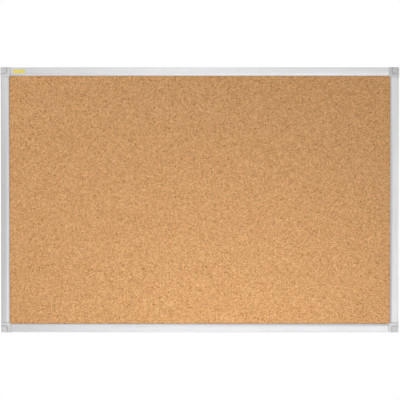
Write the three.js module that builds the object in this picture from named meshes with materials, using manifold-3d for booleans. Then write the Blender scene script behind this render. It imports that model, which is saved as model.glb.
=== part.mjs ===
// A wall-hung cork pin board: a layered cork panel in a frame of four aluminium extrusions. Four
// moulded corners join the rails, and a pull-off cap hides the wall screw in each of them.
// Millimetres. The board is drawn as seen from the front, with x to the right, y up and z out of the
// wall. The last group stands it up: z up, the front facing -y and the wall plane at y = 0.

import * as THREE from "three";
import { mergeVertices } from "three/addons/utils/BufferGeometryUtils.js";
import Module from "manifold-3d";

const wasm = await Module();
wasm.setup();

// Whole board, measured over the corners
const boardWidth = 900;
const boardHeight = 600;

// Clearances
const fitGap = 0.3; // between pieces that push together
const glueLine = 0.2; // adhesive between the panel's layers

// Panel layers
const corkThickness = 2;
const coreThickness = 5.5;
const backingThickness = 0.5;

// Rail extrusion
const railFace = 18.6; // width seen from the front
const railWall = 1.4;
const railChamber = 6; // inside width of the box chamber along the outer edge
const railFlange = 6; // reach of the rear flange past the chamber's inner wall
const railLip = 1.2; // thickness of the front lip at its tip
const railLipLand = 1.2; // flat under the tip, which holds the panel
const bevelWidth = 4.2; // slope from the front face down to the cork
const bevelDrop = 2;
const railCrown = 0.4; // swell of the front face
const railFrontEdge = 1.2; // radius of the outer front edge
const railBackEdge = 0.5; // radius of the outer back edge
const railOffWall = 0.8; // the corners alone touch the wall

// Corner moulding
const cornerSize = 22.3;
const cornerProud = 0.7; // beyond the rails at the sides
const cornerRaise = 0.5; // above the rails at the front
const cornerOuterRadius = 2.6;
const cornerInnerRadius = 4;
const cornerFrontEdge = 1.2; // radius of the front edges
const cornerWall = 1.7;

// Wall screw hole
const wellRadius = 4.8; // room for the screw's head
const wellFloor = 3.2;
const wallHoleRadius = 2.6;
const countersinkRadius = 4.2;

// Spigots that plug into the rails
const spigotLength = 28;
const spigotBarbs = 6;
const barbHeight = 0.7;

// Pull-off cap
const capSize = 15.2;
const capInnerRadius = 6;
const capThickness = 2.6;
const capWall = 1.3;
const capGap = 0.4; // open seam around the cap
const collarLength = 4;
const collarWall = 1;
const collarSlit = 1; // slits split the collar into four springy fingers

// Rail screws, countersunk from the back
const screwLength = 9.5;
const screwRadius = 1.1;
const screwHeadRadius = 1.9;
const screwHeadHeight = 1.1;
const screwSunk = 0.1; // head below the rail's back
const screwTip = 2;
const screwClearance = 0.4; // all round the screw
const screwInset = 10; // from the rail's end

// Blank label on the top rail
const labelLength = 26;
const labelHeight = 8.4;
const labelThickness = 0.3;
const labelGlue = 0.1;
const labelCornerRadius = 0.8;
const labelFromSide = 29; // from the board's left side
const labelFromBevel = 0.4;

// Smoothness
const curveSteps = 4;
const holeSides = 24;
const screwSides = 12;
const edgeSteps = 3;
const embed = 0.4; // how far joined shapes reach into each other
const sliver = 0.01; // how far stacked cutting shapes overlap
const beyond = 5; // how far cutting shapes reach past a surface

// Heights above the wall
const railBackZ = railOffWall;
const flangeZ = railBackZ + railWall;
const backingZ = flangeZ + fitGap;
const coreZ = backingZ + backingThickness + glueLine;
const corkZ = coreZ + coreThickness + glueLine;
const corkFrontZ = corkZ + corkThickness;
const lipZ = corkFrontZ + fitGap;
const faceZ = lipZ + railLip + bevelDrop;
const chamberTopZ = faceZ - railWall;
const cornerFrontZ = faceZ + railCrown + cornerRaise;
const capSeatZ = cornerFrontZ - capThickness;
const ledgeZ = capSeatZ - fitGap;

// Distances in from the rail's outer side
const webNear = railWall + railChamber;
const webFar = webNear + railWall;
const bevelStart = railFace - bevelWidth;
const chamberMiddle = railWall + railChamber / 2;

// Distances in from the corner's outer sides
const panelStop = cornerProud + webFar;
const panelEdge = panelStop + fitGap;
const wellCentre = capSize / 2;
const bossRadius = wellRadius + cornerWall;
const collarRadius = wellRadius - fitGap;

// Materials

function material(name, color, roughness, metalness) {
  return new THREE.MeshStandardMaterial({ name, color, roughness, metalness });
}

const cork = material("cork", 0xce9c6a, 0.95, 0);
const fibre = material("fibre", 0x9a7b55, 0.95, 0);
const kraft = material("kraft", 0xb08a5f, 0.85, 0);
const aluminium = material("aluminium", 0xdcdcde, 0.38, 1);
const plastic = material("plastic", 0xc6c7c6, 0.55, 0);
const zinc = material("zinc", 0xb9bbbd, 0.35, 1);
const sticker = material("sticker", 0xe1cb5e, 0.5, 0);

// Closed solids

function solid(geometry) {
  const bare = geometry.clone();
  bare.deleteAttribute("normal");
  bare.deleteAttribute("uv");
  const welded = mergeVertices(bare, 1e-4);
  const mesh = new wasm.Mesh({
    numProp: 3,
    vertProperties: new Float32Array(welded.attributes.position.array),
    triVerts: new Uint32Array(welded.index.array),
  });
  return new wasm.Manifold(mesh);
}

function surface(body) {
  const mesh = body.getMesh();
  const geometry = new THREE.BufferGeometry();
  geometry.setAttribute("position", new THREE.BufferAttribute(mesh.vertProperties, 3));
  geometry.setIndex(new THREE.BufferAttribute(mesh.triVerts, 1));
  geometry.computeVertexNormals();
  return geometry;
}

function piece(name, body, material) {
  const mesh = new THREE.Mesh(surface(body), material);
  mesh.name = name;
  return mesh;
}

function prism(shape, fromZ, toZ) {
  const options = { depth: toZ - fromZ, bevelEnabled: false, curveSegments: curveSteps };
  return new THREE.ExtrudeGeometry(shape, options).translate(0, 0, fromZ);
}

function slab(fromX, toX, fromY, toY, fromZ, toZ) {
  const box = new THREE.BoxGeometry(toX - fromX, toY - fromY, toZ - fromZ);
  return box.translate((fromX + toX) / 2, (fromY + toY) / 2, (fromZ + toZ) / 2);
}

function cone(lowRadius, highRadius, fromZ, toZ, sides) {
  const round = new THREE.CylinderGeometry(highRadius, lowRadius, toZ - fromZ, sides);
  return round.rotateX(Math.PI / 2).translate(0, 0, (fromZ + toZ) / 2);
}

function cylinder(radius, fromZ, toZ, sides = holeSides) {
  return cone(radius, radius, fromZ, toZ, sides);
}

function turned(profile, sides) {
  const points = profile.map(([radius, height]) => new THREE.Vector2(radius, height));
  return new THREE.LatheGeometry(points, sides).rotateX(Math.PI / 2);
}

// Panel: three sheets with clipped corners, which leave room for the corners' screw bosses

function panelShape() {
  const halfWidth = boardWidth / 2 - panelEdge;
  const halfHeight = boardHeight / 2 - panelEdge;
  const bossReach = 2 * wellCentre + Math.SQRT2 * (bossRadius + cornerWall);
  const clip = Math.max(bossReach - 2 * panelEdge, cornerWall);
  const shape = new THREE.Shape();
  shape.moveTo(-halfWidth + clip, -halfHeight);
  shape.lineTo(halfWidth - clip, -halfHeight);
  shape.lineTo(halfWidth, -halfHeight + clip);
  shape.lineTo(halfWidth, halfHeight - clip);
  shape.lineTo(halfWidth - clip, halfHeight);
  shape.lineTo(-halfWidth + clip, halfHeight);
  shape.lineTo(-halfWidth, halfHeight - clip);
  shape.lineTo(-halfWidth, -halfHeight + clip);
  shape.closePath();
  return shape;
}

function makeSheet(fromZ, thickness) {
  return solid(prism(panelShape(), fromZ, fromZ + thickness));
}

// Rail: one extrusion, drawn as the bottom rail with its outer side at y = 0

const profileAlongX = new THREE.Matrix4().makeBasis(
  new THREE.Vector3(0, 1, 0),
  new THREE.Vector3(0, 0, 1),
  new THREE.Vector3(1, 0, 0),
);

function alongX(shape, length) {
  const bar = new THREE.ExtrudeGeometry(shape, {
    depth: length,
    bevelEnabled: false,
    curveSegments: curveSteps,
  });
  return bar.applyMatrix4(profileAlongX).translate(-length / 2, 0, 0);
}

function railShape() {
  const flangeEnd = webFar + railFlange;
  const shape = new THREE.Shape();
  shape.moveTo(railBackEdge, railBackZ);
  shape.lineTo(flangeEnd, railBackZ);
  shape.lineTo(flangeEnd, flangeZ);
  shape.lineTo(webFar, flangeZ);
  shape.lineTo(webFar, chamberTopZ);
  shape.lineTo(bevelStart, chamberTopZ);
  shape.lineTo(railFace - railLipLand, lipZ);
  shape.lineTo(railFace, lipZ);
  shape.lineTo(railFace, lipZ + railLip);
  shape.lineTo(bevelStart, faceZ);
  shape.quadraticCurveTo((bevelStart + railFrontEdge) / 2, faceZ + 2 * railCrown, railFrontEdge, faceZ);
  shape.absarc(railFrontEdge, faceZ - railFrontEdge, railFrontEdge, Math.PI / 2, Math.PI, false);
  shape.absarc(railBackEdge, railBackZ + railBackEdge, railBackEdge, Math.PI, 1.5 * Math.PI, false);

  const chamber = new THREE.Path();
  chamber.moveTo(railWall, flangeZ);
  chamber.lineTo(railWall, chamberTopZ);
  chamber.lineTo(webNear, chamberTopZ);
  chamber.lineTo(webNear, flangeZ);
  chamber.closePath();
  shape.holes.push(chamber);
  return shape;
}

function crownZ(fromOuterSide) {
  const across = (fromOuterSide - railFrontEdge) / (bevelStart - railFrontEdge);
  return faceZ + 4 * railCrown * across * (1 - across);
}

function screwHole(x, y, toZ) {
  const sinkZ = railBackZ + screwSunk;
  const wide = screwHeadRadius + screwClearance;
  const narrow = screwRadius + screwClearance;
  const mouth = cylinder(wide, railBackZ - beyond, sinkZ, screwSides).translate(x, y, 0);
  const sink = cone(wide, narrow, sinkZ - sliver, sinkZ + screwHeadHeight, screwSides).translate(x, y, 0);
  const shank = cylinder(narrow, sinkZ, toZ, screwSides).translate(x, y, 0);
  return solid(mouth).add(solid(sink)).add(solid(shank));
}

function screwPlaces(length) {
  return [-1, 1].map((end) => end * (length / 2 - screwInset));
}

function makeRail(length) {
  let rail = solid(alongX(railShape(), length));
  for (const x of screwPlaces(length)) {
    rail = rail.subtract(screwHole(x, chamberMiddle, flangeZ + embed));
  }
  return rail;
}

function makeScrew() {
  const headZ = railBackZ + screwSunk;
  return solid(
    turned(
      [
        [0, headZ],
        [screwHeadRadius, headZ],
        [screwRadius, headZ + screwHeadHeight],
        [screwRadius, headZ + screwLength - screwTip],
        [0, headZ + screwLength],
      ],
      screwSides,
    ),
  );
}

// Corner: drawn as the bottom left one with its outermost point at the origin

function cornerShape() {
  const shape = new THREE.Shape();
  shape.moveTo(cornerOuterRadius, 0);
  shape.lineTo(cornerSize, 0);
  shape.lineTo(cornerSize, cornerSize - cornerInnerRadius);
  shape.absarc(
    cornerSize - cornerInnerRadius,
    cornerSize - cornerInnerRadius,
    cornerInnerRadius,
    0,
    Math.PI / 2,
    false,
  );
  shape.lineTo(0, cornerSize);
  shape.absarc(cornerOuterRadius, cornerOuterRadius, cornerOuterRadius, Math.PI, 1.5 * Math.PI, false);
  return shape;
}

function cornerBlock() {
  const rounded = new THREE.ExtrudeGeometry(cornerShape(), {
    depth: cornerFrontZ,
    bevelEnabled: true,
    bevelThickness: cornerFrontEdge,
    bevelSize: cornerFrontEdge,
    bevelOffset: -cornerFrontEdge,
    bevelSegments: edgeSteps,
    curveSegments: curveSteps,
  });
  rounded.translate(0, 0, -cornerFrontEdge);
  const inWall = slab(-beyond, cornerSize + beyond, -beyond, cornerSize + beyond, -beyond, 0);
  return solid(rounded).subtract(solid(inWall));
}

function capShape(grow, outside) {
  const low = -outside;
  const high = capSize + grow;
  const outer = cornerOuterRadius + outside;
  const inner = capInnerRadius + grow;
  const shape = new THREE.Shape();
  shape.moveTo(low + outer, low);
  shape.lineTo(high, low);
  shape.lineTo(high, high - inner);
  shape.absarc(high - inner, high - inner, inner, 0, Math.PI / 2, false);
  shape.lineTo(low, high);
  shape.absarc(low + outer, low + outer, outer, Math.PI, 1.5 * Math.PI, false);
  return shape;
}

function spigotShape() {
  const low = flangeZ + fitGap;
  const high = chamberTopZ - fitGap;
  const middle = (low + high) / 2;
  const crest = (high - low) / 2;
  const root = crest - barbHeight;
  const pitch = spigotLength / spigotBarbs;
  const upper = [[-embed, root]];
  for (let barb = 0; barb < spigotBarbs; barb += 1) {
    const steep = (barb + 0.3) * pitch;
    upper.push([steep, root], [steep, crest], [(barb + 1) * pitch, root]);
  }
  const lower = upper.map(([x, height]) => [x, -height]).reverse();
  const points = [...upper, ...lower].map(([x, height]) => new THREE.Vector2(x, middle + height));
  return new THREE.Shape(points);
}

function makeSpigot() {
  const near = cornerProud + railWall + fitGap;
  const far = cornerProud + webNear - fitGap;
  const bar = prism(spigotShape(), 0, far - near);
  bar.rotateX(Math.PI / 2).translate(cornerSize, far, 0);
  const pilotX = cornerSize + fitGap + screwInset;
  const pilotEnd = railBackZ + screwLength + cornerWall;
  return solid(bar).subtract(screwHole(pilotX, cornerProud + chamberMiddle, pilotEnd));
}

// The same shape on the corner's other leg
function acrossDiagonal(body) {
  const copy = surface(body);
  const position = copy.attributes.position;
  const index = copy.index;
  for (let i = 0; i < position.count; i += 1) {
    position.setXY(i, position.getY(i), position.getX(i));
  }
  for (let i = 0; i < index.count; i += 3) {
    const second = index.getX(i + 1);
    index.setX(i + 1, index.getX(i + 2));
    index.setX(i + 2, second);
  }
  return solid(copy);
}

function atWell(geometry) {
  return solid(geometry.translate(wellCentre, wellCentre, 0));
}

function makeCorner() {
  const block = cornerBlock();
  const end = cornerSize + beyond;
  const notch = solid(slab(panelStop, end, panelStop, end, flangeZ, lipZ));
  const boss = atWell(cylinder(bossRadius, 0, lipZ + embed)).intersect(block);
  const spigot = makeSpigot();

  const legStart = wellCentre + bossRadius;
  const legEnd = cornerSize - cornerWall;
  const legTop = ledgeZ - cornerWall;
  const pocket = solid(slab(legStart, legEnd, cornerWall, panelStop - cornerWall, -beyond, legTop));

  const recess = solid(prism(capShape(capGap, beyond), ledgeZ, cornerFrontZ + beyond));
  const well = atWell(cylinder(wellRadius, wellFloor, ledgeZ + beyond));
  const sinkFoot = wellFloor - (countersinkRadius - wallHoleRadius);
  const sink = atWell(cone(wallHoleRadius, countersinkRadius, sinkFoot, wellFloor + sliver, holeSides));
  const hole = atWell(cylinder(wallHoleRadius, -beyond, wellFloor + beyond));

  const joined = block.subtract(notch).add(boss).add(spigot).add(acrossDiagonal(spigot));
  const cored = joined.subtract(pocket).subtract(acrossDiagonal(pocket));
  return cored.subtract(recess).subtract(well).subtract(sink).subtract(hole);
}

function makeCap() {
  const outline = solid(prism(capShape(0, beyond), capSeatZ, cornerFrontZ + beyond));
  const hollow = solid(prism(capShape(-capWall, -capWall), capSeatZ - beyond, cornerFrontZ - capWall));
  const footZ = capSeatZ - collarLength;
  const topZ = cornerFrontZ - capWall + embed;
  const innerRadius = collarRadius - collarWall;
  const leadIn = collarWall / 2;
  const collarProfile = [
    [innerRadius, footZ],
    [collarRadius - leadIn, footZ],
    [collarRadius, footZ + leadIn],
    [collarRadius, topZ],
    [innerRadius, topZ],
    [innerRadius, footZ],
  ];
  const half = collarSlit / 2;
  const collar = atWell(turned(collarProfile, holeSides));
  const slitAcross = atWell(slab(-wellRadius, wellRadius, -half, half, footZ - beyond, capSeatZ));
  const slitUp = atWell(slab(-half, half, -wellRadius, wellRadius, footZ - beyond, capSeatZ));
  const fingers = collar.subtract(slitAcross).subtract(slitUp);
  return cornerBlock().intersect(outline).subtract(hollow).add(fingers);
}

// Label: a thin sheet that follows the swell of the top rail's face

function makeLabel() {
  const nearSide = bevelStart - labelFromBevel - labelHeight;
  const steps = 2 * curveSteps;
  const under = [];
  for (let step = 0; step <= steps; step += 1) {
    const u = nearSide + (labelHeight * step) / steps;
    under.push([u, crownZ(u) + labelGlue]);
  }
  const over = under.map(([u, z]) => [u, z + labelThickness]).reverse();
  const section = new THREE.Shape([...under, ...over].map(([u, z]) => new THREE.Vector2(u, z)));
  const sheet = solid(alongX(section, labelLength + beyond));

  const right = labelLength / 2;
  const radius = labelCornerRadius;
  const outline = new THREE.Shape();
  const corners = [
    [right - radius, radius, -Math.PI / 2],
    [right - radius, labelHeight - radius, 0],
    [-right + radius, labelHeight - radius, Math.PI / 2],
    [-right + radius, radius, Math.PI],
  ];
  for (const [x, y, start] of corners) {
    outline.absarc(x, nearSide + y, radius, start, start + Math.PI / 2, false);
  }
  return sheet.intersect(solid(prism(outline, 0, cornerFrontZ + beyond)));
}

// Assembly

const group = new THREE.Group();
group.name = "pin_badge_board";
group.rotation.x = Math.PI / 2;

group.add(piece("backing_sheet", makeSheet(backingZ, backingThickness), kraft));
group.add(piece("core_board", makeSheet(coreZ, coreThickness), fibre));
group.add(piece("cork_sheet", makeSheet(corkZ, corkThickness), cork));

const railEnds = 2 * (cornerSize + fitGap);
const sides = [
  { name: "bottom", ends: ["left", "right"], length: boardWidth - railEnds, reach: boardHeight / 2 },
  { name: "right", ends: ["bottom", "top"], length: boardHeight - railEnds, reach: boardWidth / 2 },
  { name: "top", ends: ["right", "left"], length: boardWidth - railEnds, reach: boardHeight / 2 },
  { name: "left", ends: ["top", "bottom"], length: boardHeight - railEnds, reach: boardWidth / 2 },
];

sides.forEach((side, index) => {
  const edge = new THREE.Group();
  edge.name = `side_${side.name}`;
  edge.rotation.z = (index * Math.PI) / 2;

  const outerSide = cornerProud - side.reach;
  const rail = piece(`rail_${side.name}`, makeRail(side.length), aluminium);
  rail.position.y = outerSide;
  edge.add(rail);

  screwPlaces(side.length).forEach((x, end) => {
    const screw = piece(`rail_screw_${side.name}_${side.ends[end]}`, makeScrew(), zinc);
    screw.position.set(x, outerSide + chamberMiddle, 0);
    edge.add(screw);
  });

  if (side.name === "top") {
    const label = piece("blank_label", makeLabel(), sticker);
    label.position.set(boardWidth / 2 - labelFromSide - labelLength / 2, outerSide, 0);
    edge.add(label);
  }
  group.add(edge);
});

const corners = [
  { name: "bottom_left", x: -boardWidth / 2, y: -boardHeight / 2 },
  { name: "bottom_right", x: boardWidth / 2, y: -boardHeight / 2 },
  { name: "top_right", x: boardWidth / 2, y: boardHeight / 2 },
  { name: "top_left", x: -boardWidth / 2, y: boardHeight / 2 },
];

corners.forEach((corner, index) => {
  const place = new THREE.Group();
  place.name = `place_${corner.name}`;
  place.position.set(corner.x, corner.y, 0);
  place.rotation.z = (index * Math.PI) / 2;
  place.add(piece(`corner_${corner.name}`, makeCorner(), plastic));
  place.add(piece(`screw_cap_${corner.name}`, makeCap(), plastic));
  group.add(place);
});

export default group;
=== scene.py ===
import math

import bmesh
import bpy
from mathutils import Matrix, Vector, noise

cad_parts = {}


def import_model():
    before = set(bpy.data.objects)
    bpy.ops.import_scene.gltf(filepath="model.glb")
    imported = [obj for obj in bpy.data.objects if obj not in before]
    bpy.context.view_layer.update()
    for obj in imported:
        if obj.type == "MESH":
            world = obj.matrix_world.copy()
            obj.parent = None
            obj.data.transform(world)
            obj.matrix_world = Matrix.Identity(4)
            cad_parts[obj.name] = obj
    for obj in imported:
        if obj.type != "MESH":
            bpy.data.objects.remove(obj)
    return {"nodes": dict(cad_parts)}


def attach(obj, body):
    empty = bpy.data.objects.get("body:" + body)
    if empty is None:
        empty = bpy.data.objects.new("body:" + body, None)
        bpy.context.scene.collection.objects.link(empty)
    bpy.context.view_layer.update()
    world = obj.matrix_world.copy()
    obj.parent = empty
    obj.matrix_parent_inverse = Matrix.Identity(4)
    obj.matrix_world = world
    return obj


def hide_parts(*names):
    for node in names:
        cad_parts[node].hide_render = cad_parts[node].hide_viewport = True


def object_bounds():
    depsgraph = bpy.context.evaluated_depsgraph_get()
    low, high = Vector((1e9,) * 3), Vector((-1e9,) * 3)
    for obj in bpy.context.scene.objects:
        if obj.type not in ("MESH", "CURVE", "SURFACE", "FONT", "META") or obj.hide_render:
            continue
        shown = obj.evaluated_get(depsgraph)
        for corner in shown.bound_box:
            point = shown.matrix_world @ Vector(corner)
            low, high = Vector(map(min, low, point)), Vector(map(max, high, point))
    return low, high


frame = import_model()
cad_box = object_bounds()

# Looks of the pin badge board: a cork face in an aluminium frame with moulded corners.
# Pieces are drawn in millimetres as seen from the front: x to the right, y up and z out of the wall.
# STAND turns a drawing upright, with the front facing -y, and into metres.

MM_PER_METRE = 1000
STAND = Matrix.Rotation(math.pi / 2, 4, "X") @ Matrix.Scale(1 / MM_PER_METRE, 4)
AS_DRAWN = Matrix.Identity(4)
BOARD_WIDTH = (cad_box[1][0] - cad_box[0][0]) * MM_PER_METRE
BOARD_HEIGHT = (cad_box[1][2] - cad_box[0][2]) * MM_PER_METRE
CORNERS = ["bottom_left", "bottom_right", "top_right", "top_left"]
SIDES = ["bottom", "right", "top", "left"]

# Cork sheet
CORK_BACK = 8.9
CORK_FRONT = 10.9
CORK_EDGE = 9.8  # in from the board's outer sides
CORK_CLIP = 6.9  # cut off each corner, measured along its sides
CORK_STEP = 2.6  # spacing of the relief's points
CORK_RELIEF = 0.12
LUMP_SIZE = 4.5
LUMP_SHARE = 0.8  # of the relief
SWELL_SIZE = 60
SWELL_SHARE = 0.4
GRANULE_SIZE = 2.05
CRUMB_SIZE = 1.0

# Rail extrusion
RAIL_END_GAP = 0.3
RAIL_FACE = 18.6
RAIL_WALL = 1.4
RAIL_BACK = 0.8
RAIL_FLANGE_END = 14.8
WEB_NEAR = 7.4
WEB_FAR = 8.8
CHAMBER_TOP = 13.0
LIP_UNDER = 11.2
LIP_TOP = 12.4
LIP_LAND = 1.2
BEVEL_START = 13.4
FACE_EDGE = 14.4  # height of the front face at its edges
FACE_CROWN = 0.15
RAIL_FRONT_EDGE = 0.8
RAIL_SOFT_EDGE = 0.25

# Corner moulding
CORNER_SIZE = 22.3
CORNER_PROUD = 0.7
CORNER_FRONT = 15.3
CORNER_OUTER_RADIUS = 2.6
CORNER_INNER_RADIUS = 4
CORNER_FRONT_EDGE = 1.2
CORNER_WALL = 1.7
CORNER_SOFT_EDGE = 0.22
CORNER_GREY = 0.625
PANEL_STOP = 9.5
FLANGE_TOP = 2.2

# Spigots that plug into the rails
SPIGOT_LENGTH = 28
SPIGOT_GAP = 0.3
SPIGOT_ROOT = 0.4  # how far the spigot's root reaches into the corner
SPIGOT_BARBS = 6
BARB_HEIGHT = 0.7
BARB_START = 0.3  # share of the pitch ahead of each barb's steep side

# Wall screw hole
WELL_CENTRE = 7.6
WELL_RADIUS = 4.8
WELL_FLOOR = 3.2
HOLE_RADIUS = 2.6
COUNTERSINK_RADIUS = 4.2
BOSS_RADIUS = 6.5
BOSS_FOOT = 1.0  # how far the boss reaches into the flange behind the panel
BOSS_HEAD = 0.5  # how far it reaches into the front of the moulding

# Pull-off cap
CAP_SIZE = 15.0
CAP_INNER_RADIUS = 6
CAP_SEAT = 12.7
CAP_LEDGE = 12.4
CAP_GAP = 0.6
CAP_WALL = 1.3
CAP_SEAM_EDGE = 0.8
CAP_SOFT_EDGE = 0.15
CAP_GREY = 0.565
COLLAR_RADIUS = 4.5
COLLAR_WALL = 1
COLLAR_LENGTH = 4
COLLAR_SLIT = 1
COLLAR_ROOT = 0.3  # how far the collar reaches into the cap's front

# Rail screws
SCREW_INSET = 10
SCREW_FROM_SIDE = 4.4
SCREW_HEAD = 0.9  # height of the head's face
SCREW_HEAD_RADIUS = 1.9
SCREW_HEAD_HEIGHT = 1.1
SCREW_HEAD_RIM = 0.15
SCREW_RADIUS = 1.1
SCREW_LENGTH = 9.5
SCREW_TIP = 2
SCREW_CLEARANCE = 0.4
RECESS_ARM = 1.15
RECESS_WIDTH = 0.42
RECESS_DEPTH = 0.75
RECESS_ABOVE = 0.5  # how far the shape that cuts the recess stands out of the head
RECESS_MOUTH = 1.25  # that shape's size there, as a share of the arm and the width
RECESS_BOTTOM = 0.45  # its size at the bottom

# Blank label on the top rail
LABEL_LEFT = -421
LABEL_LENGTH = 26
LABEL_NEAR = 4.9  # from the rail's outer side
LABEL_HEIGHT = 8.2
LABEL_CORNER = 0.8
LABEL_LIFT = 0.06
LABEL_THICKNESS = 0.2

# Meshes in general
BEYOND = 5  # how far a cutting shape reaches past what it cuts
MERGE_DISTANCE = 1e-4
AXIS_RADIUS = 1e-6  # stands for zero on the axis of a turned piece
SHARP_CORNER = 20  # degrees of turn from which a corner of an outline is rounded
SHARP_EDGE = 40  # degrees from which an edge of a moulding is softened
WELL_FACETS = 48
SCREW_FACETS = 32

# Most of a noise lies between these
NOISE_LOW = 0.3
NOISE_HIGH = 0.7

# Floor and camera, in metres
FLOOR_HEIGHT = -1.25
FLOOR_SIZE = 14.0
FLOOR_COLOUR = (0.86, 0.86, 0.86, 1)
FLOOR_ROUGHNESS = 0.9
FLOOR_WHITE = 0.65  # share of plain white that the camera sees on the floor near the board
FLOOR_FADE_START = 1.5
FLOOR_FADE_END = 4.0
CAMERA_DISTANCE = 3.0
CAMERA_RISE = 1.0  # degrees above straight on
CAMERA_ASIDE = 0.0006  # right of the board's middle
CAMERA_REACH = 100
FRAME_WIDTH = 0.9042  # width of the picture at the board's front
SENSOR = 36.0  # millimetres


# Meshes


def new_object(name, data):
    made = bpy.data.objects.new(name, data)
    bpy.context.scene.collection.objects.link(made)
    return made


def mesh_from(name, points, faces):
    """A mesh with its double points merged and its faces turned outwards."""
    mesh = bpy.data.meshes.new(name)
    mesh.from_pydata(points, [], faces)
    tidy = bmesh.new()
    tidy.from_mesh(mesh)
    bmesh.ops.remove_doubles(tidy, verts=tidy.verts, dist=MERGE_DISTANCE)
    bmesh.ops.recalc_face_normals(tidy, faces=tidy.faces)
    tidy.to_mesh(mesh)
    tidy.free()
    return mesh


def lofted(name, rings):
    """A closed mesh through rings of points, each ring with the same number of points."""
    count = len(rings[0])
    points = [point for ring in rings for point in ring]
    faces = [list(range(count)), list(range(len(points) - count, len(points)))]
    for ring in range(len(rings) - 1):
        low = ring * count
        high = low + count
        for i in range(count):
            j = (i + 1) % count
            faces.append([low + i, low + j, high + j, high + i])
    return mesh_from(name, points, faces)


def prism(name, outline, low, high):
    """A block along z, from an outline of (x, y) points."""
    return lofted(name, [[(x, y, z) for x, y in outline] for z in (low, high)])


def bar(name, section, left, right):
    """A bar along x, from a section of (y, z) points."""
    return lofted(name, [[(x, y, z) for y, z in section] for x in (left, right)])


def lathe(name, profile, facets):
    """A closed mesh turned about the z axis, from (radius, z) points that begin and end on it."""
    rings = []
    for radius, z in profile:
        rings.append([(x, y, z) for x, y in circle((0, 0), max(radius, AXIS_RADIUS), facets)])
    return lofted(name, rings)


def box_outline(left, right, bottom, top):
    return [(left, bottom), (right, bottom), (right, top), (left, top)]


def circle(centre, radius, facets):
    turns = [2 * math.pi * i / facets for i in range(facets)]
    return [(centre[0] + radius * math.cos(t), centre[1] + radius * math.sin(t)) for t in turns]


def arc(centre, radius, start, end, steps):
    """Points on an arc, angles in degrees."""
    turns = [math.radians(start + (end - start) * i / steps) for i in range(steps + 1)]
    return [(centre[0] + radius * math.cos(t), centre[1] + radius * math.sin(t)) for t in turns]


def softened(outline, radius):
    """The outline with each sharp corner rounded off."""
    steps = 3
    most_of_side = 0.45
    soft = []
    for i, point in enumerate(outline):
        here = Vector(point)
        back = Vector(outline[i - 1]) - here
        ahead = Vector(outline[(i + 1) % len(outline)]) - here
        turn = math.pi - back.angle(ahead)
        if math.degrees(turn) < SHARP_CORNER:
            soft.append(point)
            continue
        limit = most_of_side * min(back.length, ahead.length)
        reach = min(radius * math.tan(turn / 2), limit)
        start = here + back.normalized() * reach
        end = here + ahead.normalized() * reach
        for step in range(steps + 1):
            t = step / steps
            soft.append(tuple((1 - t) ** 2 * start + 2 * t * (1 - t) * here + t * t * end))
    return soft


def settled(piece):
    """Replaces the piece's mesh with what its modifiers make of it."""
    shape = piece.evaluated_get(bpy.context.evaluated_depsgraph_get())
    mesh = bpy.data.meshes.new_from_object(shape)
    piece.modifiers.clear()
    piece.data = mesh


def combined(piece, others, operation):
    """Joins or cuts the piece with other meshes."""
    helpers = [new_object("helper", mesh) for mesh in others]
    for helper in helpers:
        step = piece.modifiers.new("shape", "BOOLEAN")
        step.operation = operation
        step.solver = "EXACT"
        step.object = helper
    settled(piece)
    for helper in helpers:
        bpy.data.objects.remove(helper)


def soft_edges(piece, width):
    """Rounds the piece's sharp edges."""
    bevel = piece.modifiers.new("edges", "BEVEL")
    bevel.width = width
    bevel.segments = 2
    bevel.limit_method = "ANGLE"
    bevel.angle_limit = math.radians(SHARP_EDGE)
    bevel.use_clamp_overlap = True
    settled(piece)


def smooth(mesh, angle=35):
    """Shades the mesh smooth, apart from edges that turn by more than the angle in degrees."""
    mesh.shade_smooth()
    mesh.set_sharp_from_angle(angle=math.radians(angle))


def drawn(piece):
    """The finished mesh of an object that was needed only to draw it."""
    mesh = piece.data
    smooth(mesh)
    bpy.data.objects.remove(piece)
    return mesh


def turn_about_board(index):
    """Turns a drawing of the bottom side, or of the bottom left corner, to the one with that index."""
    return Matrix.Rotation(index * math.pi / 2, 4, "Z")


def corner_place(index):
    across = [-1, 1, 1, -1][index] * BOARD_WIDTH / 2
    up = [-1, -1, 1, 1][index] * BOARD_HEIGHT / 2
    return Matrix.Translation((across, up, 0)) @ turn_about_board(index)


def add_piece(name, node, drawing, material, place=AS_DRAWN, body="board"):
    """Stands a copy of the drawn mesh in its place, and shows it instead of the node's plain solid."""
    mesh = drawing.copy()
    mesh.name = name
    mesh.transform(STAND @ place)
    mesh.materials.clear()
    mesh.materials.append(material)
    piece = new_object(name, mesh)
    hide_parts(node)
    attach(piece, body)


# Materials


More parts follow.
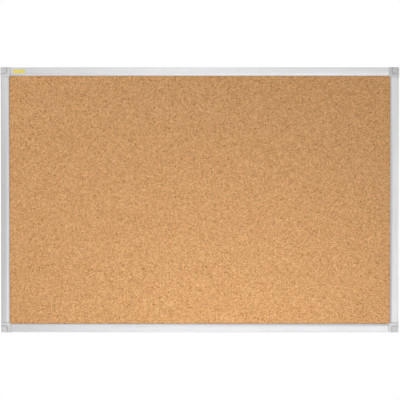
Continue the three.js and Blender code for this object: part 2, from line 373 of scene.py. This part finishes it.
class Paint:
    """A procedural material being put together."""

    def __init__(self, name, **values):
        self.material = bpy.data.materials.new(name)
        self.material.use_nodes = True
        self.tree = self.material.node_tree
        self.surface = self.tree.nodes["Principled BSDF"]
        for socket, value in values.items():
            self.surface.inputs[socket.replace("_", " ")].default_value = value

    def node(self, kind, inputs=None, **settings):
        made = self.tree.nodes.new("ShaderNode" + kind)
        for key, value in settings.items():
            setattr(made, key, value)
        for key, value in (inputs or {}).items():
            self.feed(made.inputs[key], value)
        return made

    def feed(self, socket, value):
        """Links a socket to another one, or sets it to a plain value."""
        if isinstance(value, bpy.types.NodeSocket):
            self.tree.links.new(value, socket)
        else:
            socket.default_value = value

    def place(self, scale=(1, 1, 1)):
        """The place on the board in millimetres, stretched by scale."""
        coordinates = self.node("TexCoord").outputs["Object"]
        stretch = [MM_PER_METRE * share for share in scale]
        return self.node("Mapping", {"Vector": coordinates, "Scale": stretch}).outputs["Vector"]

    def place_along(self, scale):
        """The place along and across a rail in millimetres, stretched by scale."""
        coordinates = self.node("TexCoord").outputs["UV"]
        return self.node("Mapping", {"Vector": coordinates, "Scale": scale}).outputs["Vector"]

    def noise(self, place, size, detail, roughness=0.55, output="Fac"):
        """Noise of about the given size in millimetres, from 0 to 1."""
        inputs = {"Vector": place, "Scale": 1 / size, "Detail": detail, "Roughness": roughness}
        return self.node("TexNoise", inputs).outputs[output]

    def cells(self, place, size, feature="F1"):
        """Cells of about the given size in millimetres."""
        return self.node("TexVoronoi", {"Vector": place, "Scale": 1 / size}, feature=feature)

    def cell_edge(self, place, size):
        """Distance to the nearest edge of such cells, as a share of their size."""
        return self.cells(place, size, "DISTANCE_TO_EDGE").outputs["Distance"]

    def random(self, cells, channel="Red"):
        """One random number for each cell."""
        return self.node("SeparateColor", {"Color": cells.outputs["Color"]}).outputs[channel]

    def spots(self, place, ragged, size, share, radius):
        """Ragged spots in a share of the cells of the given size. The radius is a share of that size."""
        unevenness = 0.12
        half_edge = 0.04
        cells = self.cells(place, size)
        picked = self.math("LESS_THAN", self.random(cells), share)
        shift = self.spread(ragged, 0.0, 1.0, -unevenness, unevenness)
        reach = self.math("ADD", cells.outputs["Distance"], shift)
        inside = self.spread(reach, radius - half_edge, radius + half_edge, 1.0, 0.0)
        return self.math("MULTIPLY", picked, inside)

    def math(self, operation, *values):
        made = self.node("Math", operation=operation)
        for socket, value in zip(made.inputs, values):
            self.feed(socket, value)
        return made.outputs[0]

    def weighted(self, first, *others):
        """The sum of (value, weight) pairs."""
        total = self.math("MULTIPLY", *first)
        for value, weight in others:
            total = self.math("MULTIPLY_ADD", value, weight, total)
        return total

    def spread(self, value, low, high, to_low=0.0, to_high=1.0, **settings):
        """Stretches low to high over to_low to to_high."""
        inputs = {"Value": value, "From Min": low, "From Max": high, "To Min": to_low, "To Max": to_high}
        return self.node("MapRange", inputs, **settings).outputs["Result"]

    def varied(self, value, to_low, to_high):
        """A number that follows a noise over most of its range."""
        return self.spread(value, NOISE_LOW, NOISE_HIGH, to_low, to_high)

    def between(self, factor, first, second):
        """A number between two others."""
        return self.node("Mix", {0: factor, 2: first, 3: second}, data_type="FLOAT").outputs[0]

    def ramp(self, value, *stops):
        """Colours along a value, from (position, colour) stops."""
        made = self.node("ValToRGB", {"Fac": value})
        band = made.color_ramp
        while len(band.elements) < len(stops):
            band.elements.new(0.5)
        for element, (position, colour) in zip(band.elements, stops):
            element.position = position
            element.color = (*colour, 1)
        return made.outputs["Color"]

    def two_tone(self, value, low_colour, high_colour):
        """A colour that follows a noise over most of its range."""
        return self.ramp(value, (NOISE_LOW, low_colour), (NOISE_HIGH, high_colour))

    def tinted(self, colour, factor, tint):
        """The colour, changed towards the tint by the factor."""
        return self.node("Mix", {0: factor, 6: colour, 7: (*tint, 1)}, data_type="RGBA").outputs[2]

    def finish(self, colour, roughness, height, depth, strength):
        """Connects the surface. depth is the relief's height in millimetres."""
        relief = {"Height": height, "Distance": depth / MM_PER_METRE, "Strength": strength}
        self.feed(self.surface.inputs["Base Color"], colour)
        self.feed(self.surface.inputs["Roughness"], roughness)
        self.feed(self.surface.inputs["Normal"], self.node("Bump", relief).outputs["Normal"])
        return self.material


def cork_material():
    """Pressed cork: whole granules among crumbs in mixed tans, thin seams, bark specks and long flecks."""
    paint = Paint("cork", Specular_IOR_Level=0.25)
    straight = paint.place()
    wander = paint.noise(straight, size=1.6, detail=2, roughness=0.5, output="Color")
    place = paint.node("VectorMath", {0: wander, 1: straight}, operation="ADD").outputs["Vector"]

    granules = paint.cells(place, GRANULE_SIZE)
    crumbs = paint.cells(place, CRUMB_SIZE)
    crumbled_share = 0.45
    whole = paint.math("GREATER_THAN", paint.random(granules, "Green"), crumbled_share)
    tone = paint.between(whole, paint.random(crumbs), paint.random(granules))
    colour = paint.ramp(
        tone,
        (0.00, (0.448, 0.200, 0.062)),
        (0.22, (0.567, 0.286, 0.109)),
        (0.50, (0.662, 0.356, 0.152)),
        (0.78, (0.746, 0.425, 0.195)),
        (1.00, (0.812, 0.484, 0.236)),
    )

    clouds = paint.noise(straight, size=38, detail=2)
    cloudy = paint.spread(clouds, 0.35, 0.65, to_low=0.0, to_high=0.1)
    colour = paint.tinted(colour, cloudy, (0.60, 0.335, 0.135))

    edge = paint.between(whole, paint.cell_edge(place, CRUMB_SIZE), paint.cell_edge(place, GRANULE_SIZE))
    seam = paint.spread(edge, 0.0, 0.09, to_low=0.35, to_high=0.0)
    colour = paint.tinted(colour, seam, (0.30, 0.130, 0.036))

    ragged = paint.noise(straight, size=0.8, detail=2)
    pale = paint.spots(place, ragged, size=4.4, share=0.09, radius=0.24)
    colour = paint.tinted(colour, paint.math("MULTIPLY", pale, 0.7), (0.88, 0.585, 0.325))
    specks = paint.spots(place, ragged, size=3.1, share=0.36, radius=0.25)
    large_specks = paint.spots(place, ragged, size=7.0, share=0.24, radius=0.20)
    flecks = paint.spots(paint.place((0.35, 1, 1.1)), ragged, size=3.0, share=0.05, radius=0.2)
    bark = paint.math("MAXIMUM", paint.math("MAXIMUM", specks, large_specks), flecks)
    colour = paint.tinted(colour, paint.math("MULTIPLY", bark, 0.9), (0.235, 0.090, 0.024))

    grain = paint.noise(straight, size=0.7, detail=4)
    dome = paint.spread(edge, 0.0, 0.3)
    height = paint.weighted((dome, 1.0), (grain, 0.6))
    return paint.finish(colour, paint.varied(grain, 0.82, 0.97), height, depth=0.18, strength=0.5)


def aluminium_material():
    """Satin anodised extrusion: fine drawn lines along the rail and faint cloudiness."""
    paint = Paint("anodised_aluminium", Metallic=1.0, Anisotropic=0.45, Anisotropic_Rotation=0.25)
    along = paint.node("Tangent", direction_type="UV_MAP", uv_map="along")
    paint.feed(paint.surface.inputs["Tangent"], along.outputs["Tangent"])
    place = paint.place_along((0.012, 1.0, 1.0))
    lines = paint.noise(place, size=0.35, detail=5, roughness=0.7)
    bands = paint.noise(place, size=2.4, detail=2)
    clouds = paint.noise(paint.place(), size=55, detail=3)
    tone = paint.weighted((lines, 0.5), (bands, 0.3), (clouds, 0.2))
    colour = paint.two_tone(tone, (0.415, 0.415, 0.425), (0.48, 0.48, 0.49))
    return paint.finish(colour, paint.varied(tone, 0.44, 0.36), lines, depth=0.02, strength=0.25)


def plastic_material(name, grey):
    """Grey moulded plastic with a fine eroded grain and faint flow marks."""
    paint = Paint(name, Specular_IOR_Level=0.45)
    grain = paint.noise(paint.place(), size=0.5, detail=4, roughness=0.7)
    flow = paint.noise(paint.place((1, 1, 0.4)), size=9, detail=2)
    tone = paint.weighted((grain, 0.45), (flow, 0.55))
    colour = paint.two_tone(tone, [0.94 * grey] * 3, [1.06 * grey] * 3)
    return paint.finish(colour, paint.varied(grain, 0.42, 0.58), grain, depth=0.03, strength=0.5)


def zinc_material():
    """Zinc plated steel, bright with slightly yellowed patches."""
    paint = Paint("zinc_plate", Metallic=1.0)
    patches = paint.noise(paint.place(), size=1.2, detail=3)
    colour = paint.ramp(patches, (0.35, (0.56, 0.55, 0.50)), (0.65, (0.68, 0.68, 0.68)))
    return paint.finish(colour, paint.varied(patches, 0.24, 0.4), patches, depth=0.02, strength=0.3)


def kraft_material():
    """Brown kraft sheet: fine fibres lying mostly one way, small dark shives and faint machine streaks."""
    paint = Paint("kraft_sheet", Specular_IOR_Level=0.25)
    place = paint.place()
    fibres = paint.noise(paint.place((0.2, 1, 1)), size=0.7, detail=5, roughness=0.7)
    cross_fibres = paint.noise(paint.place((1, 1, 0.3)), size=0.9, detail=4, roughness=0.65)
    streaks = paint.noise(paint.place((0.01, 1, 1)), size=3.0, detail=3)
    clouds = paint.noise(place, size=14, detail=4)
    tone = paint.weighted((fibres, 0.45), (cross_fibres, 0.25), (streaks, 0.18), (clouds, 0.12))
    colour = paint.ramp(
        tone,
        (0.35, (0.345, 0.200, 0.092)),
        (0.50, (0.420, 0.252, 0.120)),
        (0.65, (0.495, 0.308, 0.152)),
    )
    ragged = paint.noise(place, size=0.6, detail=2)
    lying = paint.spots(paint.place((0.25, 1, 1)), ragged, size=3.0, share=0.4, radius=0.06)
    slanted = paint.spots(paint.place((0.8, 1, 0.3)), ragged, size=3.4, share=0.3, radius=0.05)
    shives = paint.math("MULTIPLY", paint.math("MAXIMUM", lying, slanted), 0.5)
    colour = paint.tinted(colour, shives, (0.17, 0.088, 0.036))
    return paint.finish(colour, paint.varied(fibres, 0.72, 0.9), fibres, depth=0.05, strength=0.5)


def fibre_material():
    """Soft fibre board, felted and dull."""
    paint = Paint("fibre_board", Specular_IOR_Level=0.15)
    fibres = paint.noise(paint.place((1, 0.3, 1)), size=1.2, detail=5, roughness=0.7)
    colour = paint.two_tone(fibres, (0.24, 0.145, 0.066), (0.40, 0.26, 0.13))
    return paint.finish(colour, paint.varied(fibres, 0.85, 0.98), fibres, depth=0.2, strength=0.8)


def label_material():
    """Blank yellow vinyl, slightly uneven in its print."""
    paint = Paint("label", Specular_IOR_Level=0.4)
    mottle = paint.noise(paint.place(), size=2.0, detail=3)
    colour = paint.two_tone(mottle, (0.78, 0.64, 0.12), (0.84, 0.705, 0.155))
    return paint.finish(colour, paint.varied(mottle, 0.4, 0.52), mottle, depth=0.01, strength=0.3)


# Pieces


def cork_height(x, y):
    """Height of the cork's uneven face: lumps on a slow swell."""
    spot = Vector((x, y, 0))
    falloff = 1.0
    closeness = 2.0
    layers = 2
    lumps = noise.fractal(spot / LUMP_SIZE, falloff, closeness, layers)
    swell = noise.noise(spot / SWELL_SIZE)
    return CORK_FRONT + CORK_RELIEF * (LUMP_SHARE * lumps + SWELL_SHARE * swell)


def cork_drawing():
    """The cork sheet, with an uneven face and clipped corners."""
    half_width = BOARD_WIDTH / 2 - CORK_EDGE
    half_height = BOARD_HEIGHT / 2 - CORK_EDGE
    columns = round(2 * half_width / CORK_STEP)
    rows = round(2 * half_height / CORK_STEP)
    sheet = bmesh.new()
    bmesh.ops.create_grid(sheet, x_segments=columns, y_segments=rows, size=1)
    bmesh.ops.scale(sheet, vec=(half_width, half_height, 1), verts=sheet.verts)
    for side_x in (-1, 1):
        for side_y in (-1, 1):
            bmesh.ops.bisect_plane(
                sheet,
                geom=list(sheet.verts) + list(sheet.edges) + list(sheet.faces),
                plane_co=(side_x * (half_width - CORK_CLIP), side_y * half_height, 0),
                plane_no=(side_x, side_y, 0),
                clear_outer=True,
            )
    rim = [edge for edge in sheet.edges if edge.is_boundary]
    skirt = bmesh.ops.extrude_edge_only(sheet, edges=rim)["geom"]
    skirt_points = {item for item in skirt if isinstance(item, bmesh.types.BMVert)}
    for point in sheet.verts:
        point.co.z = CORK_BACK if point in skirt_points else cork_height(point.co.x, point.co.y)
    bmesh.ops.contextual_create(sheet, geom=[edge for edge in sheet.edges if edge.is_boundary])
    bmesh.ops.recalc_face_normals(sheet, faces=sheet.faces)
    mesh = bpy.data.meshes.new("cork")
    sheet.to_mesh(mesh)
    sheet.free()
    smooth(mesh, angle=50)
    return mesh


def crown_height(from_outer_side):
    """Height of a rail's front face, nearly flat in its middle and easing down to its edges."""
    middle = (RAIL_FRONT_EDGE + BEVEL_START) / 2
    share = (from_outer_side - middle) / (BEVEL_START - middle)
    return FACE_EDGE + FACE_CROWN * (1 - share ** 4)


def rail_section():
    """The extrusion's section: distance in from the outer side, and height above the wall."""
    flange_top = RAIL_BACK + RAIL_WALL
    lower = [
        (0, RAIL_BACK),
        (RAIL_FLANGE_END, RAIL_BACK),
        (RAIL_FLANGE_END, flange_top),
        (WEB_FAR, flange_top),
        (WEB_FAR, CHAMBER_TOP),
        (BEVEL_START, CHAMBER_TOP),
        (RAIL_FACE - LIP_LAND, LIP_UNDER),
        (RAIL_FACE, LIP_UNDER),
        (RAIL_FACE, LIP_TOP),
    ]
    crown_steps = 20
    run = BEVEL_START - RAIL_FRONT_EDGE
    across = [BEVEL_START - run * i / crown_steps for i in range(crown_steps)]
    crown = [(u, crown_height(u)) for u in across]
    edge = arc((RAIL_FRONT_EDGE, FACE_EDGE - RAIL_FRONT_EDGE), RAIL_FRONT_EDGE, 90, 180, steps=8)
    return softened(lower + crown + edge, RAIL_SOFT_EDGE)


def screw_places(length):
    """Where the two screws are along a rail, from its middle."""
    return [-length / 2 + SCREW_INSET, length / 2 - SCREW_INSET]


def rail_drawing(length):
    """A hollow rail along x, with its outer side at y = 0."""
    rail = new_object("rail", bar("rail", rail_section(), -length / 2, length / 2))
    chamber = box_outline(RAIL_WALL, WEB_NEAR, RAIL_BACK + RAIL_WALL, CHAMBER_TOP)
    cuts = [bar("chamber", chamber, -length, length)]
    sink = [
        (0, 0),
        (SCREW_HEAD_RADIUS + SCREW_CLEARANCE, 0),
        (SCREW_HEAD_RADIUS + SCREW_CLEARANCE, SCREW_HEAD),
        (SCREW_RADIUS + SCREW_CLEARANCE, SCREW_HEAD + SCREW_HEAD_HEIGHT),
        (SCREW_RADIUS + SCREW_CLEARANCE, SCREW_LENGTH),
        (0, SCREW_LENGTH),
    ]
    for x in screw_places(length):
        hole = lathe("hole", sink, SCREW_FACETS)
        hole.transform(Matrix.Translation((x, SCREW_FROM_SIDE, 0)))
        cuts.append(hole)
    combined(rail, cuts, "DIFFERENCE")
    drawing = drawn(rail)
    lines = drawing.uv_layers.new(name="along")
    for loop in drawing.loops:
        spot = drawing.vertices[loop.vertex_index].co
        lines.data[loop.index].uv = (spot.x, spot.y + spot.z)
    return drawing


def label_drawing():
    """A thin sticker with rounded corners that follows the top rail's face."""
    steps = 6
    turns = [math.radians(90 * i / steps) for i in range(steps + 1)]
    near = [(LABEL_CORNER * (1 - math.sin(t)), LABEL_CORNER * (1 - math.cos(t))) for t in turns]
    far = [(inset, LABEL_HEIGHT - across) for inset, across in reversed(near)]
    rows = 8
    middle = [(0, LABEL_HEIGHT * row / rows) for row in range(2, rows - 1)]
    top_side = BOARD_HEIGHT / 2 - CORNER_PROUD
    rings = []
    for inset, across in near + middle + far:
        left = LABEL_LEFT + inset
        right = LABEL_LEFT + LABEL_LENGTH - inset
        y = top_side - LABEL_NEAR - across
        low = crown_height(LABEL_NEAR + across) + LABEL_LIFT
        high = low + LABEL_THICKNESS
        rings.append([(left, y, low), (right, y, low), (right, y, high), (left, y, high)])
    mesh = lofted("label", rings)
    smooth(mesh)
    return mesh


def screw_drawing():
    """A countersunk screw with a cross recess in its head, which faces the wall."""
    rim = SCREW_HEAD_RIM
    profile = [
        (0, SCREW_HEAD),
        (SCREW_HEAD_RADIUS - rim, SCREW_HEAD),
        (SCREW_HEAD_RADIUS, SCREW_HEAD + rim / 2),
        (SCREW_HEAD_RADIUS - rim / 2, SCREW_HEAD + 2 * rim),
        (SCREW_RADIUS, SCREW_HEAD + SCREW_HEAD_HEIGHT),
        (SCREW_RADIUS, SCREW_HEAD + SCREW_LENGTH - SCREW_TIP),
        (0, SCREW_HEAD + SCREW_LENGTH),
    ]
    screw = new_object("screw", lathe("screw", profile, SCREW_FACETS))
    levels = ((SCREW_HEAD - RECESS_ABOVE, RECESS_MOUTH), (SCREW_HEAD + RECESS_DEPTH, RECESS_BOTTOM))
    cuts = []
    for half_x, half_y in ((RECESS_ARM, RECESS_WIDTH), (RECESS_WIDTH, RECESS_ARM)):
        slot = box_outline(-half_x, half_x, -half_y, half_y)
        rings = [[(x * share, y * share, z) for x, y in slot] for z, share in levels]
        cuts.append(lofted("recess", rings))
    combined(screw, cuts, "DIFFERENCE")
    return drawn(screw)


def corner_shape(size, inner_radius, inner_steps, outer_inset, inner_inset):
    """An outline from the board's outermost point, drawn in from its outer and its inner sides."""
    outer = CORNER_OUTER_RADIUS
    far = size - inner_inset
    inner_centre = size - inner_radius
    return [
        *arc((outer, outer), outer - outer_inset, 180, 270, steps=10),
        (far, outer_inset),
        *arc((inner_centre, inner_centre), inner_radius - inner_inset, 0, 90, inner_steps),
        (outer_inset, far),
    ]


def corner_outline(inset):
    return corner_shape(CORNER_SIZE, CORNER_INNER_RADIUS, 12, inset, inset)


def cap_outline(outer_inset, seam_inset):
    """The cap's outline. The outer inset is for the board's outer sides, the other for the seam."""
    return corner_shape(CAP_SIZE, CAP_INNER_RADIUS, 14, outer_inset, seam_inset)


def rounded_front(name, outline_at, low):
    """A block with a rounded front edge. outline_at gives its outline for a share of the full inset."""
    steps = 6
    rings = [[(x, y, low) for x, y in outline_at(0.0)]]
    for step in range(steps + 1):
        lean = math.pi / 2 * step / steps
        z = CORNER_FRONT - CORNER_FRONT_EDGE + CORNER_FRONT_EDGE * math.sin(lean)
        rings.append([(x, y, z) for x, y in outline_at(1 - math.cos(lean))])
    return lofted(name, rings)


def spigot(turned):
    """A spigot with barbs at its front and back. Turned, it plugs into the corner's other rail."""
    low = RAIL_BACK + RAIL_WALL + SPIGOT_GAP
    high = CHAMBER_TOP - SPIGOT_GAP
    middle = (low + high) / 2
    crest = (high - low) / 2
    root = crest - BARB_HEIGHT
    pitch = SPIGOT_LENGTH / SPIGOT_BARBS
    upper = [(-SPIGOT_ROOT, root)]
    for barb in range(SPIGOT_BARBS):
        steep = (barb + BARB_START) * pitch
        upper += [(steep, root), (steep, crest), ((barb + 1) * pitch, root)]
    lower = [(x, -height) for x, height in reversed(upper)]
    side = [(CORNER_SIZE + x, middle + height) for x, height in upper + lower]
    near = CORNER_PROUD + RAIL_WALL + SPIGOT_GAP
    far = CORNER_PROUD + WEB_NEAR - SPIGOT_GAP
    rings = [[(x, y, z) for x, z in side] for y in (near, far)]
    if turned:
        rings = [[(y, x, z) for x, y, z in ring] for ring in rings]
    return lofted("spigot", rings)


def spigot_hole(turned):
    """The hole in a spigot that its rail screw goes into."""
    spot = (CORNER_SIZE + RAIL_END_GAP + SCREW_INSET, CORNER_PROUD + SCREW_FROM_SIDE)
    outline = circle(spot[::-1] if turned else spot, SCREW_RADIUS + SCREW_CLEARANCE, SCREW_FACETS)
    return prism("spigot_hole", outline, 0, SCREW_HEAD + SCREW_LENGTH + SCREW_CLEARANCE)


def screw_way():
    """The space for the wall screw: bore, countersink and well."""
    profile = [
        (0, -BEYOND),
        (HOLE_RADIUS, -BEYOND),
        (HOLE_RADIUS, WELL_FLOOR - (COUNTERSINK_RADIUS - HOLE_RADIUS)),
        (COUNTERSINK_RADIUS, WELL_FLOOR),
        (WELL_RADIUS, WELL_FLOOR),
        (WELL_RADIUS, CORNER_FRONT + BEYOND),
        (0, CORNER_FRONT + BEYOND),
    ]
    way = lathe("screw_way", profile, WELL_FACETS)
    way.transform(Matrix.Translation((WELL_CENTRE, WELL_CENTRE, 0)))
    return way


def corner_drawing():
    """The corner moulding: screw well, cap recess, panel notch, pockets in the back and two spigots."""
    block = rounded_front("corner", lambda share: corner_outline(CORNER_FRONT_EDGE * share), low=0)
    corner = new_object("corner", block)
    far = CORNER_SIZE + BEYOND
    notch = prism("notch", box_outline(PANEL_STOP, far, PANEL_STOP, far), FLANGE_TOP, LIP_UNDER)
    combined(corner, [notch], "DIFFERENCE")
    around_well = circle((WELL_CENTRE, WELL_CENTRE), BOSS_RADIUS, WELL_FACETS)
    boss = prism("boss", around_well, FLANGE_TOP - BOSS_FOOT, LIP_UNDER + BOSS_HEAD)
    combined(corner, [boss], "UNION")

    start = WELL_CENTRE + BOSS_RADIUS
    end = CORNER_SIZE - CORNER_WALL
    near = CORNER_WALL
    wide = PANEL_STOP - CORNER_WALL
    pocket_top = CAP_LEDGE - CORNER_WALL
    past_sides = 6
    cuts = [
        prism("pocket_across", box_outline(start, end, near, wide), -BEYOND, pocket_top),
        prism("pocket_up", box_outline(near, wide, start, end), -BEYOND, pocket_top),
        prism("recess", cap_outline(-past_sides, -CAP_GAP), CAP_LEDGE, CORNER_FRONT + BEYOND),
        screw_way(),
    ]
    combined(corner, cuts, "DIFFERENCE")
    soft_edges(corner, CORNER_SOFT_EDGE)
    combined(corner, [spigot(turned) for turned in (False, True)], "UNION")
    combined(corner, [spigot_hole(turned) for turned in (False, True)], "DIFFERENCE")
    return drawn(corner)


def finger(start, end):
    """One springy finger of the cap's collar, between two angles in degrees."""
    foot = CAP_SEAT - COLLAR_LENGTH
    top = CORNER_FRONT - CAP_WALL + COLLAR_ROOT
    inner = COLLAR_RADIUS - COLLAR_WALL
    lead_in = COLLAR_WALL / 2
    section = [
        (inner, foot),
        (COLLAR_RADIUS - lead_in, foot),
        (COLLAR_RADIUS, foot + lead_in),
        (COLLAR_RADIUS, top),
        (inner, top),
    ]
    steps = 8
    rings = []
    for step in range(steps + 1):
        turn = math.radians(start + (end - start) * step / steps)
        across = math.cos(turn)
        up = math.sin(turn)
        rings.append([(WELL_CENTRE + r * across, WELL_CENTRE + r * up, z) for r, z in section])
    return lofted("finger", rings)


def cap_drawing():
    """The pull-off cap: a thin shell with a split collar that grips the screw well."""
    shell = rounded_front(
        "cap",
        lambda share: cap_outline(CORNER_FRONT_EDGE * share, CAP_SEAM_EDGE * share),
        low=CAP_SEAT,
    )
    cap = new_object("cap", shell)
    inside = cap_outline(CAP_WALL, CAP_WALL)
    hollow = prism("hollow", inside, CAP_SEAT - BEYOND, CORNER_FRONT - CAP_WALL)
    combined(cap, [hollow], "DIFFERENCE")
    soft_edges(cap, CAP_SOFT_EDGE)
    half_slit = math.degrees(COLLAR_SLIT / 2 / COLLAR_RADIUS)
    for quarter in range(4):
        start = 90 * quarter + half_slit
        end = 90 * (quarter + 1) - half_slit
        combined(cap, [finger(start, end)], "UNION")
    return drawn(cap)


aluminium = aluminium_material()
corner_plastic = plastic_material("corner_plastic", CORNER_GREY)
cap_plastic = plastic_material("cap_plastic", CAP_GREY)
zinc = zinc_material()

add_piece("cork_face", "cork_sheet", cork_drawing(), cork_material())

screw = screw_drawing()
spans = [BOARD_WIDTH, BOARD_HEIGHT]
for index, side in enumerate(SIDES):
    length = spans[index % 2] - 2 * (CORNER_SIZE + RAIL_END_GAP)
    outer_side = Matrix.Translation((0, CORNER_PROUD - spans[1 - index % 2] / 2, 0))
    place = turn_about_board(index) @ outer_side
    node = f"rail_{side}"
    add_piece(f"{node}_extrusion", node, rail_drawing(length), aluminium, place)
    ends = (SIDES[index - 1], SIDES[(index + 1) % 4])
    for end, x in zip(ends, screw_places(length)):
        spot = place @ Matrix.Translation((x, SCREW_FROM_SIDE, 0))
        node = f"rail_screw_{side}_{end}"
        add_piece(f"{node}_cross_head", node, screw, zinc, spot)

corner = corner_drawing()
cap = cap_drawing()
for index, name in enumerate(CORNERS):
    place = corner_place(index)
    node = f"corner_{name}"
    add_piece(f"{node}_moulding", node, corner, corner_plastic, place)
    node = f"screw_cap_{name}"
    add_piece(f"{node}_shell", node, cap, cap_plastic, place, f"cap_{name}")

add_piece("label_sticker", "blank_label", label_drawing(), label_material())

for node, material in (("backing_sheet", kraft_material()), ("core_board", fibre_material())):
    frame["nodes"][node].data.materials.clear()
    frame["nodes"][node].data.materials.append(material)


# Floor, light and camera


def floor():
    """A pale floor, near white to the camera, that still takes the board's shadow."""
    half = FLOOR_SIZE / 2
    points = [(x, y, FLOOR_HEIGHT) for x, y in box_outline(-half, half, -half, half)]
    mesh = bpy.data.meshes.new("floor")
    mesh.from_pydata(points, [], [[0, 1, 2, 3]])
    paint = Paint("floor", Base_Color=FLOOR_COLOUR, Roughness=FLOOR_ROUGHNESS)
    place = paint.node("TexCoord").outputs["Object"]
    distance = paint.node("VectorMath", {0: place}, operation="LENGTH").outputs["Value"]
    fade = (FLOOR_FADE_START, FLOOR_FADE_END, FLOOR_WHITE, 1.0)
    white = paint.spread(distance, *fade, interpolation_type="SMOOTHSTEP")
    seen_white = paint.math("MULTIPLY", paint.node("LightPath").outputs["Is Camera Ray"], white)
    glow = paint.node("Emission").outputs[0]
    blend = paint.node("MixShader", {0: seen_white, 1: paint.surface.outputs[0], 2: glow})
    paint.feed(paint.tree.nodes["Material Output"].inputs["Surface"], blend.outputs[0])
    mesh.materials.append(paint.material)
    new_object("floor", mesh)


def world(fill):
    """White where it is seen or mirrored, and a softer fill light elsewhere."""
    sky = bpy.data.worlds.new("studio")
    sky.use_nodes = True
    bpy.context.scene.world = sky
    nodes = sky.node_tree.nodes
    links = sky.node_tree.links
    path = nodes.new("ShaderNodeLightPath")
    seen = path.outputs["Is Camera Ray"]
    for ray in ("Is Glossy Ray", "Is Transmission Ray"):
        either = nodes.new("ShaderNodeMath")
        either.operation = "MAXIMUM"
        links.new(seen, either.inputs[0])
        links.new(path.outputs[ray], either.inputs[1])
        seen = either.outputs[0]
    strength = nodes.new("ShaderNodeMapRange")
    strength.inputs["To Min"].default_value = fill
    strength.inputs["To Max"].default_value = 1.0
    links.new(seen, strength.inputs["Value"])
    background = nodes["Background"]
    background.inputs["Color"].default_value = (1, 1, 1, 1)
    links.new(strength.outputs["Result"], background.inputs["Strength"])


def aim(holder, target):
    """Turns a lamp or the camera to the target."""
    holder.rotation_euler = (target - holder.location).to_track_quat("-Z", "Y").to_euler()


def soft_light(name, at, towards, size, power, mirrored=True, spread=180):
    """A rectangular lamp, in metres, watts and degrees. It shows in reflections only if mirrored."""
    lamp = bpy.data.lights.new(name, "AREA")
    lamp.shape = "RECTANGLE"
    lamp.size, lamp.size_y = size
    lamp.energy = power
    lamp.spread = math.radians(spread)
    holder = new_object(name, lamp)
    holder.location = at
    aim(holder, Vector(towards))
    holder.visible_camera = False
    holder.visible_glossy = mirrored


def camera():
    """A camera nearly straight in front of the board."""
    lens = bpy.data.cameras.new("camera")
    lens.sensor_width = SENSOR
    lens.lens = SENSOR * CAMERA_DISTANCE / FRAME_WIDTH
    lens.clip_end = CAMERA_REACH
    rise = math.radians(CAMERA_RISE)
    target = Vector((CAMERA_ASIDE, cad_box[0][1], 0.0))
    holder = new_object("camera", lens)
    holder.location = target + CAMERA_DISTANCE * Vector((0, -math.cos(rise), math.sin(rise)))
    aim(holder, target)
    bpy.context.scene.camera = holder


floor()
world(fill=0.2)
soft_light(
    "floor_panel", at=(0.05, -1.6, -1.2), towards=(0.05, -1.3, 1.0),
    size=(2.0, 1.2), power=17.0,
)
soft_light(
    "low_wash", at=(0.13, -1.8, -0.54), towards=(0.08, 0.0, -0.39),
    size=(0.5, 0.2), power=0.68, mirrored=False, spread=42,
)
soft_light(
    "low_front", at=(-0.03, -3.0, -0.85), towards=(0.0, 0.0, -0.1),
    size=(1.3, 0.5), power=8.3,
)
soft_light(
    "right", at=(1.05, -3.0, -0.35), towards=(0.0, 0.0, 0.0),
    size=(0.7, 1.1), power=7.35,
)
soft_light(
    "high_front", at=(-0.22, -3.2, 0.95), towards=(0.0, 0.0, 0.1),
    size=(1.4, 0.7), power=10.6,
)
soft_light(
    "high_left", at=(-1.6, -1.0, 0.9), towards=(0.0, 0.0, 0.1),
    size=(1.2, 1.2), power=15.0, mirrored=False,
)
soft_light(
    "high_back", at=(0.2, 1.6, 2.3), towards=(0.0, -0.5, -0.95),
    size=(2.0, 1.5), power=100, mirrored=False,
)
camera()
bpy.context.scene.view_settings.view_transform = "Standard"
